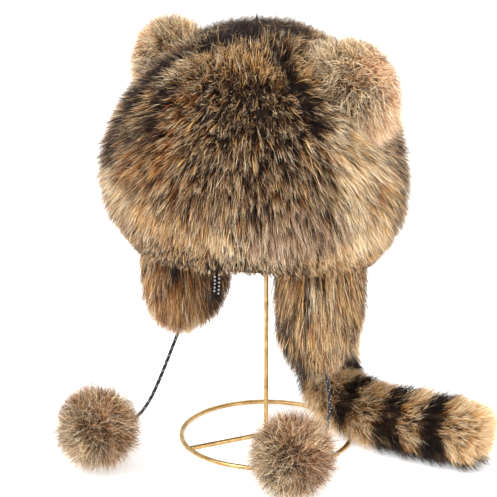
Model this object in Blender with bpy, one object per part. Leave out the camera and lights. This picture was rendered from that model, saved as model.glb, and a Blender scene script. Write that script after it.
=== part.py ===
"""Raccoon fur hat with round ears, ear flaps, tie cords, pompoms and a ringed tail, on a wire stand.

Metres, +Z up. The wearer looks along -Y, and the wearer's left is +X. The origin is the middle of
the stand's base, on the surface that it stands on.
"""

import math
from typing import NamedTuple

import bmesh
import bpy
from mathutils import Matrix, Vector

# Fits
SEAT_GAP = 0.0003
PLATE_GAP = 0.0006
HULL_GAP = 0.0005
CUT_BELOW_FRINGE = 0.013
DOWN_TO_SURFACE = 0.012
WELD = 0.000001

# How finely curves are walked along when a place or a length is looked for
FINE_STEPS = 400

# Wire stand
WIRE = 0.004
RING_RADIUS = 0.075
PLATE_RADIUS = 0.044
PLATE_THICKNESS = 0.003
BAR_TURN = math.radians(62)
WIRE_SIDES = 8
RING_SEGMENTS = 44
POLE_SIDES = 12
PLATE_SIDES = 32

# Head opening and crown
HEAD_WIDTH = 0.165
HEAD_LENGTH = 0.200
HEAD_DEPTH = 0.150
LEATHER = 0.0025
HEM_HEIGHT = 0.190
HEM_LIFT = 0.014
CROWN_FORWARD = 0.015
CROWN_CELLS = 12

# Crown fur
FUR_DEPTH = 0.043
FUR_TOP_DEPTH = 0.028
FUR_FRINGE = 0.013
CROWN_LOCK_SHARE = 0.45
CROWN_LOCK_SLIDE = 0.05

# Ears
EAR_WIDTH = 0.086
EAR_THICKNESS = 0.050
EAR_HEIGHT = 0.072
EAR_LOCK = 0.010
EAR_SPLAY = math.radians(6)
EAR_CLIMB = 0.56
EAR_FORWARD = 0.004
EAR_CELLS = 6

# Ear flaps
FLAP_WIDTH = 0.110
FLAP_THICKNESS = 0.060
FLAP_DROP_LEFT = 0.110
FLAP_DROP_RIGHT = 0.100
FLAP_LOCK = 0.014
FLAP_SLIDE = 0.10
FLAP_FORWARD = 0.006
FLAP_INSET = 0.015
FLAP_CELLS = 6

# Tail
TAIL_RADIUS = 0.033
TAIL_LOCK = 0.009
TAIL_LEAN = 0.007
TAIL_PRESS = 0.003
TAIL_REACH = 0.182
TAIL_STATIONS = 26
TAIL_SIDES = 12
TAIL_ROOT_BEHIND = 0.004
TAIL_ROOT_ASIDE = 0.003

# Pompoms and cords
POMPOM_RADIUS = 0.040
POMPOM_LOCK = 0.013
POMPOM_PRESS = 0.0005
POMPOM_CELLS = 5
CORD = 0.003
CORD_STEP = 0.0072
CORD_BORE_GAP = 0.0003

# Profile of the leather crown from hem to top, evenly spaced along it
SKIN_ROWS = (
    # share of half width, share of height
    (1.00, 0.00),
    (1.03, 0.18),
    (1.03, 0.37),
    (0.98, 0.55),
    (0.87, 0.72),
    (0.70, 0.86),
    (0.47, 0.95),
    (0.24, 0.99),
    (0.00, 1.00),
)

# Profile of the crown's fur tips from fringe to top, evenly spaced along it
FUR_ROWS = (
    # share of half width, share of height
    (0.80, 0.00),
    (0.95, 0.14),
    (1.00, 0.32),
    (0.97, 0.50),
    (0.86, 0.68),
    (0.69, 0.82),
    (0.47, 0.92),
    (0.24, 0.98),
    (0.00, 1.00),
)

# Profile of a round ear from its root to its tip
EAR_ROWS = (
    # share of half width, share of height
    (0.86, 0.00),
    (0.98, 0.22),
    (1.00, 0.45),
    (0.90, 0.68),
    (0.66, 0.86),
    (0.36, 0.97),
    (0.00, 1.00),
)

# Profile of an ear flap from the hem down to its tip
FLAP_ROWS = (
    # share of half width, share of drop
    (0.92, 0.00),
    (0.99, 0.22),
    (1.00, 0.44),
    (0.94, 0.65),
    (0.76, 0.83),
    (0.45, 0.96),
    (0.00, 1.00),
)

# Thickness and lean of the tail's fur from root to tip, evenly spaced along it
TAIL_ROWS = (
    # share of tail radius, share of lean
    (0.80, 0.6),
    (0.96, 0.8),
    (1.00, 1.0),
    (1.00, 1.0),
    (1.00, 1.0),
    (1.00, 1.0),
    (0.98, 1.0),
    (0.90, 1.2),
    (0.52, 1.5),
)

# Route of the tail below its root: down behind the left flap, over the base ring, along the surface
TAIL_ROUTE = (
    # share of reach to the left, share of the root's distance behind, share of the root's height
    (0.03, 1.02, 0.89),
    (0.05, 0.98, 0.65),
    (0.07, 0.90, 0.42),
    (0.11, 0.74, 0.20),
    (0.20, 0.57, 0.06),
    (0.32, 0.46, 0.01),
    (0.48, 0.42, 0.00),
    (0.64, 0.42, 0.00),
    (0.78, 0.45, 0.00),
    (0.92, 0.49, 0.00),
    (1.00, 0.48, 0.00),
)

# Where the pompoms lie
POMPOM_REST = POMPOM_RADIUS - POMPOM_PRESS
POMPOM_LEFT = Vector((0.094, -0.097, POMPOM_REST))
POMPOM_RIGHT = Vector((-0.073, -0.143, POMPOM_REST))

# Routes of the tie cords from inside the flap's tip to the middle of the pompom
CORD_ROUTE_LEFT = (
    (0.0740, -0.0210, 0.1010),
    (0.0755, -0.0212, 0.0880),
    (0.0790, -0.0216, 0.0720),
    (0.0815, -0.0230, 0.0560),
    (0.0820, -0.0265, 0.0400),
    (0.0825, -0.0315, 0.0260),
    (0.0850, -0.0410, 0.0160),
    (0.0880, -0.0540, 0.0130),
    (0.0905, -0.0680, 0.0170),
    (0.0925, -0.0820, 0.0275),
    tuple(POMPOM_LEFT),
)
CORD_ROUTE_RIGHT = (
    (-0.0740, -0.0200, 0.1150),
    (-0.0748, -0.0205, 0.1020),
    (-0.0750, -0.0280, 0.0910),
    (-0.0710, -0.0420, 0.0815),
    (-0.0655, -0.0590, 0.0715),
    (-0.0595, -0.0775, 0.0615),
    (-0.0545, -0.0960, 0.0520),
    (-0.0530, -0.1130, 0.0445),
    (-0.0570, -0.1280, 0.0400),
    (-0.0640, -0.1380, 0.0390),
    tuple(POMPOM_RIGHT),
)


class Dome(NamedTuple):
    """A form that is open or flat at its rim and closes at its top, with an oval plan."""

    half_x: float
    half_y: float
    height: float
    rows: tuple


def along(rows, share):
    """Reads rows that are spaced evenly from share 0 to 1 as one smooth curve."""
    place = share * (len(rows) - 1)
    index = min(max(int(place), 0), len(rows) - 2)
    t = place - index
    before = Vector(rows[max(index - 1, 0)])
    start = Vector(rows[index])
    end = Vector(rows[index + 1])
    after = Vector(rows[min(index + 2, len(rows) - 1)])
    leaving = (end - before) / 2
    arriving = (after - start) / 2
    bend = 3 * (end - start) - 2 * leaving - arriving
    twist = 2 * (start - end) + leaving + arriving
    return start + leaving * t + bend * t**2 + twist * t**3


def clear_scene():
    for old in list(bpy.data.objects):
        bpy.data.objects.remove(old, do_unlink=True)


def material(name, colour, roughness, metallic=0.0):
    made = bpy.data.materials.new(name)
    made.use_nodes = True
    shader = made.node_tree.nodes["Principled BSDF"]
    shader.inputs["Base Color"].default_value = (*colour, 1.0)
    shader.inputs["Roughness"].default_value = roughness
    shader.inputs["Metallic"].default_value = metallic
    return made


def object_from(bm, name, finish=None):
    """Closes a bmesh into a named object, with its faces pointing out."""
    bmesh.ops.recalc_face_normals(bm, faces=bm.faces)
    mesh = bpy.data.meshes.new(name)
    bm.to_mesh(mesh)
    bm.free()
    made = bpy.data.objects.new(name, mesh)
    bpy.context.scene.collection.objects.link(made)
    if finish:
        mesh.materials.append(finish)
    return made


def as_cutter(made):
    made.hide_render = True
    made.display_type = "WIRE"
    return made


def boolean(made, operation, other):
    modifier = made.modifiers.new(operation.title() + "_" + other.name, "BOOLEAN")
    modifier.operation = operation
    modifier.solver = "EXACT"
    modifier.object = other


def boundary_edges(bm):
    return [edge for edge in bm.edges if edge.is_boundary]


def unit_cells(cells, whole):
    """Even four-sided cells on the unit sphere, or on its upper half."""
    bm = bmesh.new()
    bmesh.ops.create_cube(bm, size=2.0)
    bmesh.ops.subdivide_edges(bm, edges=bm.edges, cuts=cells - 1, use_grid_fill=True)
    if not whole:
        low = [vert for vert in bm.verts if vert.co.z < -1.0 / cells]
        bmesh.ops.delete(bm, geom=low, context="VERTS")
    for vert in bm.verts:
        vert.co = Vector([math.tan(part * math.pi / 4) for part in vert.co]).normalized()
    return bm


def raise_locks(bm):
    """Gives each cell a middle point, which becomes the tip of a lock. Returns those points."""
    tips = bmesh.ops.poke(bm, faces=bm.faces)["verts"]
    for tip in tips:
        tip.co.normalize()
    return set(tips)


def dome_point(form, direction, slide=0.0):
    """The point of a dome that a unit direction looks at, moved towards the rim by slide."""
    climb = 1.0 - math.acos(min(direction.z, 1.0)) / (math.pi / 2)
    width, height = along(form.rows, climb - slide * math.sin((1.0 - climb) * math.pi / 2))
    flat = Vector((direction.x, direction.y))
    if flat.length > 0.0:
        flat.normalize()
    return Vector((flat.x * width * form.half_x, flat.y * width * form.half_y, height * form.height))


def hem_shift(y, share_above):
    """How far the hem's slope, higher at the brow and lower at the nape, moves a point."""
    return -HEM_LIFT * y / (HEAD_LENGTH / 2) * (1.0 - share_above)


def inner_skin():
    return Dome(HEAD_WIDTH / 2, HEAD_LENGTH / 2, HEAD_DEPTH, SKIN_ROWS)


def grown(form, wall):
    return Dome(form.half_x + wall, form.half_y + wall, form.height + wall, form.rows)


def outer_skin():
    return grown(inner_skin(), LEATHER)


def fur_tips():
    skin = outer_skin()
    height = skin.height + FUR_FRINGE + FUR_TOP_DEPTH
    return Dome(skin.half_x + FUR_DEPTH, skin.half_y + FUR_DEPTH, height, FUR_ROWS)


def fur_seat(direction):
    """The inner side of the crown's fur, just off the leather, with the fringe hanging below it."""
    seat = dome_point(grown(outer_skin(), SEAT_GAP), direction)
    near_rim = 1.0 - min(direction.z * CROWN_CELLS / 2, 1.0)
    seat.z -= FUR_FRINGE * near_rim
    return seat


def tip_point(direction, slide=0.0):
    tip = dome_point(fur_tips(), direction, slide)
    tip.z -= FUR_FRINGE
    return tip


def on_crown(point):
    """Sets a point of the crown, given from the middle of its hem, in its place."""
    share_above = min(max(point.z / HEAD_DEPTH, 0.0), 1.0)
    lift = hem_shift(point.y, share_above)
    return Vector((point.x, point.y - CROWN_FORWARD, point.z + HEM_HEIGHT + lift))


def two_layers(cells, inner, outer):
    """One closed wall between two forms that share the same cells, with locks on the outer one."""
    inside = unit_cells(cells, whole=False)
    for vert in inside.verts:
        vert.co = on_crown(inner(vert.co))
    bmesh.ops.reverse_faces(inside, faces=inside.faces)
    layer = bpy.data.meshes.new("layer")
    inside.to_mesh(layer)
    inside.free()
    bm = unit_cells(cells, whole=False)
    outer(bm)
    bm.from_mesh(layer)
    bpy.data.meshes.remove(layer)
    bmesh.ops.bridge_loops(bm, edges=boundary_edges(bm))
    return bm


def crown_shell():
    """The leather crown that goes over the head, open below."""

    def smooth(bm):
        for vert in bm.verts:
            vert.co = on_crown(dome_point(outer_skin(), vert.co))

    def inner(direction):
        return dome_point(inner_skin(), direction)

    bm = two_layers(CROWN_CELLS, inner, smooth)
    return object_from(bm, "crown_shell", material("leather", (0.20, 0.12, 0.07), 0.75))


def crown_fur():
    """The crown's thick fur, as locks that point out and down from a full body of underfur."""

    def furred(bm):
        tips = raise_locks(bm)
        for vert in bm.verts:
            direction = vert.co.copy()
            tip = tip_point(direction, CROWN_LOCK_SLIDE if vert in tips else 0.0)
            root = fur_seat(direction)
            share = 1.0 if vert in tips else 1.0 - CROWN_LOCK_SHARE
            vert.co = on_crown(root.lerp(tip, share))

    bm = two_layers(CROWN_CELLS, fur_seat, furred)
    return object_from(bm, "crown_fur", material("crown_fur", (0.33, 0.22, 0.13), 0.9))


def ear_frame(side):
    """Where an ear stands: square on the leather high at the side, turned about its own length."""
    skin = grown(outer_skin(), SEAT_GAP)
    width, height = along(SKIN_ROWS, EAR_CLIMB)
    narrower, higher = along(SKIN_ROWS, EAR_CLIMB + 1 / FINE_STEPS) - Vector((width, height))
    tilt = math.atan2(higher * skin.height, -narrower * skin.half_x)
    seat = Vector((side * width * skin.half_x, EAR_FORWARD, height * skin.height))
    turn = Matrix.Rotation(side * tilt, 4, "Y") @ Matrix.Rotation(side * EAR_SPLAY, 4, "Z")
    return Matrix.Translation(on_crown(seat)) @ turn


def ear(name, side):
    """One round ear, flat at its root and furred all over."""
    body = Dome(EAR_WIDTH / 2 - EAR_LOCK, EAR_THICKNESS / 2 - EAR_LOCK, EAR_HEIGHT - EAR_LOCK, EAR_ROWS)
    outline = Dome(EAR_WIDTH / 2, EAR_THICKNESS / 2, EAR_HEIGHT, EAR_ROWS)
    bm = unit_cells(EAR_CELLS, whole=False)
    tips = raise_locks(bm)
    for vert in bm.verts:
        vert.co = dome_point(outline if vert in tips else body, vert.co)
    bmesh.ops.holes_fill(bm, edges=boundary_edges(bm))
    made = object_from(bm, name, material(name, (0.48, 0.33, 0.20), 0.9))
    made.matrix_world = ear_frame(side)
    return made


def flap_point(form, side, direction, slide=0.0):
    """A point of a flap, which hangs from the crown's hem with its broad sides facing in and out."""
    point = dome_point(form, direction, slide)
    middle = Vector((side * (outer_skin().half_x - FLAP_INSET), -FLAP_FORWARD, -SEAT_GAP))
    share_down = min(point.z / form.height, 1.0)
    hung = Vector((point.x, point.y, -point.z)) + middle
    lift = hem_shift(hung.y, share_down)
    return Vector((hung.x, hung.y - CROWN_FORWARD, hung.z + HEM_HEIGHT + lift))


def flap(name, side, drop):
    """One ear flap, furred on both sides, flat where it meets the crown's hem."""
    body = Dome(FLAP_THICKNESS / 2 - FLAP_LOCK, FLAP_WIDTH / 2 - FLAP_LOCK, drop - FLAP_LOCK, FLAP_ROWS)
    outline = Dome(FLAP_THICKNESS / 2, FLAP_WIDTH / 2, drop, FLAP_ROWS)
    bm = unit_cells(FLAP_CELLS, whole=False)
    tips = raise_locks(bm)
    for vert in bm.verts:
        if vert in tips:
            vert.co = flap_point(outline, side, vert.co, -FLAP_SLIDE)
        else:
            vert.co = flap_point(body, side, vert.co)
    bmesh.ops.holes_fill(bm, edges=boundary_edges(bm))
    return object_from(bm, name, material(name, (0.36, 0.24, 0.12), 0.9))


def ground_under(point):
    """The height that something lying here rests on: the base wire up to just past it, or the surface."""
    reach = RING_RADIUS + WIRE / 2 + DOWN_TO_SURFACE
    if math.hypot(point.x, point.y) < reach:
        return WIRE + SEAT_GAP
    return 0.0


def press_to_ground(bm):
    for vert in bm.verts:
        vert.co.z = max(vert.co.z, ground_under(vert.co))


def tail_route():
    """The tail's middle line, from just under the nape's hem to where it lies on the surface."""
    behind = outer_skin().half_y + TAIL_ROOT_BEHIND
    top = HEM_HEIGHT + hem_shift(behind + TAIL_RADIUS, 0.0) - SEAT_GAP
    root = Vector((TAIL_ROOT_ASIDE, behind - CROWN_FORWARD, top))
    lying = TAIL_RADIUS - TAIL_PRESS
    route = [root]
    for reach, back, height in TAIL_ROUTE:
        route.append(Vector((reach * TAIL_REACH, back * root.y, lying + height * (root.z - lying))))
    return route


def tail_stations():
    """Evenly spaced middles along the tail, each with its direction and two directions across it."""
    route = tail_route()
    middles = [along(route, step / (TAIL_STATIONS - 1)) for step in range(TAIL_STATIONS)]
    across = Vector((1.0, 0.0, 0.0))
    stations = []
    for index, middle in enumerate(middles):
        ahead = middles[min(index + 1, TAIL_STATIONS - 1)]
        behind = middles[max(index - 1, 0)]
        tangent = (ahead - behind).normalized()
        if index == 0:
            tangent = Vector((0.0, 0.0, -1.0))
        across = (across - tangent * across.dot(tangent)).normalized()
        stations.append((middle, tangent, across, tangent.cross(across)))
    return stations


def tail():
    """The ringed tail: tapered at its root, thick along its length and blunt at its tip."""
    bm = bmesh.new()
    rings = []
    outward = {}
    for index, (middle, tangent, across, other) in enumerate(tail_stations()):
        share = index / (TAIL_STATIONS - 1)
        thickness, leaning = along(TAIL_ROWS, share)
        radius = thickness * (TAIL_RADIUS - TAIL_LOCK)
        ring = []
        for step in range(TAIL_SIDES):
            turn = 2 * math.pi * step / TAIL_SIDES
            radial = across * math.cos(turn) + other * math.sin(turn)
            vert = bm.verts.new(middle + radial * radius)
            outward[vert] = radial * TAIL_LOCK + tangent * TAIL_LEAN * leaning
            ring.append(vert)
        rings.append(ring)
    for low, high in zip(rings, rings[1:]):
        for step in range(TAIL_SIDES):
            after = (step + 1) % TAIL_SIDES
            cell = (low[step], low[after], high[after], high[step])
            lean = sum((outward[vert] for vert in cell), Vector()) / len(cell)
            tip = bm.verts.new(sum((vert.co for vert in cell), Vector()) / len(cell) + lean)
            for first, second in zip(cell, cell[1:] + cell[:1]):
                bm.faces.new((first, second, tip))
    bm.faces.new(rings[0])
    end_middle, end_tangent, _, _ = tail_stations()[-1]
    end_tip = bm.verts.new(end_middle + end_tangent * (TAIL_LOCK + TAIL_LEAN))
    for step in range(TAIL_SIDES):
        bm.faces.new((rings[-1][step], rings[-1][(step + 1) % TAIL_SIDES], end_tip))
    press_to_ground(bm)
    return object_from(bm, "tail", material("tail_fur", (0.40, 0.26, 0.13), 0.9))


def pompom(name, middle):
    """One fur pompom, with locks that point away from its middle, pressed flat where it lies."""
    bm = unit_cells(POMPOM_CELLS, whole=True)
    tips = raise_locks(bm)
    for vert in bm.verts:
        radius = POMPOM_RADIUS if vert in tips else POMPOM_RADIUS - POMPOM_LOCK
        vert.co = middle + vert.co * radius
    press_to_ground(bm)
    return object_from(bm, name, material(name, (0.36, 0.24, 0.17), 0.9))


def cord_points(route):
    """Evenly spaced points on one smooth curve through a route."""
    rows = [Vector(point) for point in route]
    fine = [along(rows, step / FINE_STEPS) for step in range(FINE_STEPS + 1)]
    length = sum((b - a).length for a, b in zip(fine, fine[1:]))
    count = round(length / CORD_STEP)
    points = [fine[0]]
    walked = 0.0
    for a, b in zip(fine, fine[1:]):
        walked += (b - a).length
        if walked >= len(points) * length / count and len(points) < count:
            points.append(b)
    points.append(fine[-1])
    return points


def cord_curve(name, route, radius):
    curve = bpy.data.curves.new(name, "CURVE")
    curve.dimensions = "3D"
    curve.bevel_depth = radius
    curve.bevel_resolution = 2
    curve.use_fill_caps = True
    points = cord_points(route)
    spline = curve.splines.new("POLY")
    spline.points.add(len(points) - 1)
    for place, point in zip(spline.points, points):
        place.co = (*point, 1.0)
    made = bpy.data.objects.new(name, curve)
    bpy.context.scene.collection.objects.link(made)
    return made


def cord(name, route):
    made = cord_curve(name, route, CORD / 2)
    made.data.materials.append(material(name, (0.03, 0.03, 0.03), 0.5))
    return made


def cord_bore(name, route):
    """A cutter along a cord, wider all round and longer at both ends by the bore's gap."""
    start = Vector(route[0])
    end = Vector(route[-1])
    first = start + (start - Vector(route[1])).normalized() * CORD_BORE_GAP
    last = end + (end - Vector(route[-2])).normalized() * CORD_BORE_GAP
    guide = cord_curve(name + "_guide", (first, *route[1:-1], last), CORD / 2 + CORD_BORE_GAP)
    mesh = bpy.data.meshes.new_from_object(guide.evaluated_get(bpy.context.evaluated_depsgraph_get()))
    bpy.data.objects.remove(guide, do_unlink=True)
    bm = bmesh.new()
    bm.from_mesh(mesh)
    bpy.data.meshes.remove(mesh)
    bmesh.ops.remove_doubles(bm, verts=bm.verts, dist=WELD)
    return as_cutter(object_from(bm, name))


def hull_cutter(made, above):
    """A cutter round the outermost points of a piece that lie above a height, held just off them."""
    bm = bmesh.new()
    for vert in made.data.vertices:
        place = made.matrix_world @ vert.co
        if place.z > above:
            bm.verts.new(place)
    bmesh.ops.convex_hull(bm, input=bm.verts)
    inner = [vert for vert in bm.verts if not vert.link_faces]
    bmesh.ops.delete(bm, geom=inner, context="VERTS")
    bmesh.ops.recalc_face_normals(bm, faces=bm.faces)
    bm.normal_update()
    pushed = [vert.co + vert.normal * HULL_GAP * vert.calc_shell_factor() for vert in bm.verts]
    for vert, place in zip(bm.verts, pushed):
        vert.co = place
    return as_cutter(object_from(bm, made.name + "_seat"))


def wire_section(radius):
    """An eight-sided wire section with a flat side down, as offsets across and up."""
    corner = radius / math.cos(math.pi / WIRE_SIDES)
    turns = [math.pi * (2 * step + 1) / WIRE_SIDES for step in range(WIRE_SIDES)]
    return [(corner * math.cos(turn), corner * math.sin(turn)) for turn in turns]


def base_ring():
    bm = bmesh.new()
    section = [bm.verts.new((RING_RADIUS + x, 0.0, WIRE / 2 + z)) for x, z in wire_section(WIRE / 2)]
    edges = [bm.edges.new((a, b)) for a, b in zip(section, section[1:] + section[:1])]
    bmesh.ops.spin(
        bm,
        geom=section + edges,
        axis=(0, 0, 1),
        cent=(0, 0, 0),
        angle=2 * math.pi,
        steps=RING_SEGMENTS,
        use_merge=True,
    )
    return bm


def cross_bar():
    bm = bmesh.new()
    ends = []
    for reach in (-RING_RADIUS, RING_RADIUS):
        ends.append([bm.verts.new((reach, x, WIRE / 2 + z)) for x, z in wire_section(WIRE / 2)])
    for step in range(WIRE_SIDES):
        after = (step + 1) % WIRE_SIDES
        bm.faces.new((ends[0][step], ends[0][after], ends[1][after], ends[1][step]))
    bm.faces.new(ends[0])
    bm.faces.new(ends[1])
    bmesh.ops.rotate(bm, verts=bm.verts, matrix=Matrix.Rotation(BAR_TURN, 3, "Z"))
    return bm


def plate_height():
    """The height of the plate's upper side, whose edge meets the crown's inside where it is lowest."""
    form = inner_skin()
    turns = [2 * math.pi * step / PLATE_SIDES for step in range(PLATE_SIDES)]
    edge = [(PLATE_RADIUS * math.cos(turn), PLATE_RADIUS * math.sin(turn) + CROWN_FORWARD) for turn in turns]
    widest = max(math.hypot(x / form.half_x, y / form.half_y) for x, y in edge)
    climbs = [1.0 - step / FINE_STEPS for step in range(FINE_STEPS)]
    width, height = next(row for row in (along(form.rows, climb) for climb in climbs) if row[0] >= widest)
    slope = hem_shift(PLATE_RADIUS + CROWN_FORWARD, height)
    return HEM_HEIGHT + height * form.height + slope - PLATE_GAP


def upright(radius, sides, low, high):
    bm = bmesh.new()
    middle = Matrix.Translation((0, 0, (low + high) / 2))
    bmesh.ops.create_cone(
        bm,
        cap_ends=True,
        segments=sides,
        radius1=radius,
        radius2=radius,
        depth=high - low,
        matrix=middle,
    )
    return bm


def stand():
    """The soldered wire stand: a base ring, a bar across it, a pole and the plate that it ends in."""
    top = plate_height()
    brass = material("brass", (0.72, 0.52, 0.24), 0.35, 1.0)
    made = object_from(base_ring(), "stand", brass)
    parts = (
        object_from(cross_bar(), "stand_bar"),
        object_from(upright(WIRE / 2, POLE_SIDES, WIRE / 2, top - PLATE_THICKNESS / 2), "stand_pole"),
        object_from(upright(PLATE_RADIUS, PLATE_SIDES, top - PLATE_THICKNESS, top), "stand_plate"),
    )
    for part in parts:
        boolean(made, "UNION", as_cutter(part))
    return made


def build():
    clear_scene()
    stand()
    crown_shell()
    fur = crown_fur()
    ears = (ear("ear_left", 1), ear("ear_right", -1))
    flaps = (flap("flap_left", 1, FLAP_DROP_LEFT), flap("flap_right", -1, FLAP_DROP_RIGHT))
    hung_tail = tail()
    bpy.context.view_layer.update()
    below_fringe = HEM_HEIGHT - HEM_LIFT - FUR_FRINGE - CUT_BELOW_FRINGE
    for piece in (*ears, *flaps, hung_tail):
        boolean(fur, "DIFFERENCE", hull_cutter(piece, below_fringe))
    pompoms = (pompom("pompom_left", POMPOM_LEFT), pompom("pompom_right", POMPOM_RIGHT))
    routes = (CORD_ROUTE_LEFT, CORD_ROUTE_RIGHT)
    for end, route, hung, ball in zip(("left", "right"), routes, flaps, pompoms):
        cord("cord_" + end, route)
        bore = cord_bore("cord_bore_" + end, route)
        boolean(hung, "DIFFERENCE", bore)
        boolean(ball, "DIFFERENCE", bore)


build()
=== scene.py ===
"""The looks of a raccoon fur hat on its wire stand: combed hair, specked cords, brass wire and leather.

Metres, in the frame's axes: +Z up, the wearer looks along -Y, and the wearer's left is +X. Fur is made of
flat tapered hairs that grow in locks. A hair's colour comes from its place on the OFBake map: across is
the way from its root to its tip, and up is the coat that it belongs to and how bright it is.
"""

import math
from typing import Callable, NamedTuple

import bmesh
import bpy
import numpy as np
from mathutils import Matrix, Vector


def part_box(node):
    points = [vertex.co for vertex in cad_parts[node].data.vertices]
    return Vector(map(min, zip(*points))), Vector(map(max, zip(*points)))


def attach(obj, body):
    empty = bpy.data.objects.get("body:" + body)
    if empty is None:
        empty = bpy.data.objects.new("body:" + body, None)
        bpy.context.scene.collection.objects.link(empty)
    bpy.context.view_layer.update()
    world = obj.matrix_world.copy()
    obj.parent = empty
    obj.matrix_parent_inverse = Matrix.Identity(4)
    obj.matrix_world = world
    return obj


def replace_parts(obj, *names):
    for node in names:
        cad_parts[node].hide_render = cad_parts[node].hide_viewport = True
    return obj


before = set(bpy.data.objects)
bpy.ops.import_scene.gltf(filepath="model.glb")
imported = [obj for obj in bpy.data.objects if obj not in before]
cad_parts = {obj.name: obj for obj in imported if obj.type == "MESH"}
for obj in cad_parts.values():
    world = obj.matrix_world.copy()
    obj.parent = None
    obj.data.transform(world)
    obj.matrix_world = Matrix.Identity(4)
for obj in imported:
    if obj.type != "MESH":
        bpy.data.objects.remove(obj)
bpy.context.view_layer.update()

# The photo's camera: how far round to the wearer's left, how far off, and how it is aimed
CAMERA_TURN = math.radians(35)
CAMERA_REACH = 1.45
CAMERA_HEIGHT = 0.62
CAMERA_YAW = math.radians(0.614)
CAMERA_PITCH = math.radians(17.108)
FOCAL_PIXELS = 1766
FRAME_PIXELS = 497
SENSOR_MM = 36

# Head opening and crown
HEAD_WIDTH = 0.165
HEAD_LENGTH = 0.200
HEAD_DEPTH = 0.150
LEATHER = 0.0025
HEM_HEIGHT = 0.190
HEM_LIFT = 0.014
CROWN_FORWARD = 0.015
FUR_DEPTH = 0.043
FUR_TOP_DEPTH = 0.028
FUR_FRINGE = 0.013
FUR_CREST = 0.007

# How the crown's fringe fades above the hem, and from which climbs its crest lifts and its tips are combed
FRINGE_FADE = 6
CREST_FROM = 0.55
CREST_RUN = 0.3
COMB_FULL_FROM = 0.2
COMB_LEAST = 0.30

# Ears. The core's numbers are shares of the width, the thickness and the height.
EAR_WIDTH = 0.086
EAR_THICKNESS = 0.050
EAR_HEIGHT = 0.072
EAR_SPLAY = math.radians(6)
EAR_CLIMB = 0.56
EAR_FORWARD = 0.004
EAR_FLUFF = 1.12
EAR_CORE = (0.20, 0.12, 0.62)

# Ear flaps. The core's numbers are shares of the thickness, the width and the drop.
FLAP_WIDTH = 0.110
FLAP_THICKNESS = 0.060
FLAP_DROP_LEFT = 0.110
FLAP_DROP_RIGHT = 0.100
FLAP_FORWARD = 0.006
FLAP_INSET = 0.015
FLAP_CORE = (0.10, 0.24, 0.72)

# Tail. Its round cap starts at one share of its length and adds another.
TAIL_RADIUS = 0.033
TAIL_PRESS = 0.003
TAIL_REACH = 0.182
TAIL_ROOT_BEHIND = 0.004
TAIL_ROOT_ASIDE = 0.003
TAIL_CAP_FROM = 0.93
TAIL_CAP_SHARE = 0.13
TAIL_CAP_REACH = 0.025
TAIL_RINGS = 60
TAIL_SIDES = 32
TAIL_LAST_RING = 0.95

# Pompoms and cords
POMPOM_RADIUS = 0.040
POMPOM_REST = 0.0395
CORD = 0.003
CORD_STEP = 0.0072
SPECK_STEP = 0.0026
SPECK_TURN = math.radians(52)
SPECK_RADIUS = 0.00055
SPECK_LOOK_AHEAD = 0.002
BEAD_RADIUS = 0.0010
BEAD_DEPTH = 1.03
BEAD_ROWS = (
    # turn round the right flap, climb where the row starts and ends, number of beads
    (96, 0.30, 0.46, 7),
    (89, 0.33, 0.43, 5),
)

# Wire stand
WIRE = 0.004
RING_RADIUS = 0.075
PLATE_RADIUS = 0.044
PLATE_THICKNESS = 0.003
BAR_TURN = math.radians(62)
SOLDER_AT_POLE = 0.0033
SOLDER_AT_RING = 0.0028
SOLDER_FLATNESS = 0.7
SOLDER_RISE = 1.1
WIRE_SIDES = 16
RING_STEPS = 120
PLATE_SIDES = 96
SHARP_EDGE = math.radians(50)

# Smooth skins: rings from rim to top, the last one close to the top, and the first one tucked in
SKIN_TOP = 0.98
SKIN_TUCK = 0.1
LEATHER_RINGS = 30
LEATHER_SIDES = 96

# Hair: how alike a lock's hairs are, and how many are longer, thinner guard hairs
LOCK_LIKENESS = 0.72
LOCK_WANDER = 0.8
GUARD_SHARE = 0.14
GUARD_LENGTH = 1.30
GUARD_WIDTH = 0.55

# Hair: the least and the most that a lock or a hair takes of what its growth says
LOCK_LENGTHS = (0.82, 1.0)
HAIR_LENGTHS = (0.86, 1.06)
HAIR_SLIDES = (0.6, 1.3)
HAIR_DROOPS = (0.3, 1.3)
HAIR_WIDTHS = (0.6, 1.25)

# Hair: how it turns about itself, how far it narrows at its bend, and how near the surface it comes
HAIR_SKEW = 0.05
HAIR_ROLL = 0.6
HAIR_TAPER = 0.85
HAIR_CLEARANCE = 0.0005
OUTWARD_STEP = 0.1

# A hair's ribbon: two corners at its root, two at its bend and one at its tip, in two faces
RIBBON_CORNERS = 5
RIBBON_LOOPS = (0, 1, 3, 2, 2, 3, 4)
RIBBON_FACE_STARTS = (0, 4)

# The OFBake map: how bright a hair is in its coat's band, and where on the ramp its ends are
MAP_BRIGHTNESS = (0.12, 0.88)
MAP_ROOT = (0.0, 0.10)
MAP_TIP = 0.995
MAP_HALF_HEIGHT = 0.002

# Patches: how deep in the fur they are measured, and how they fade at their edge
PATCH_DEPTH = 0.9
PATCH_SHARPNESS = 4
PATCH_FALL = 0.7

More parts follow.
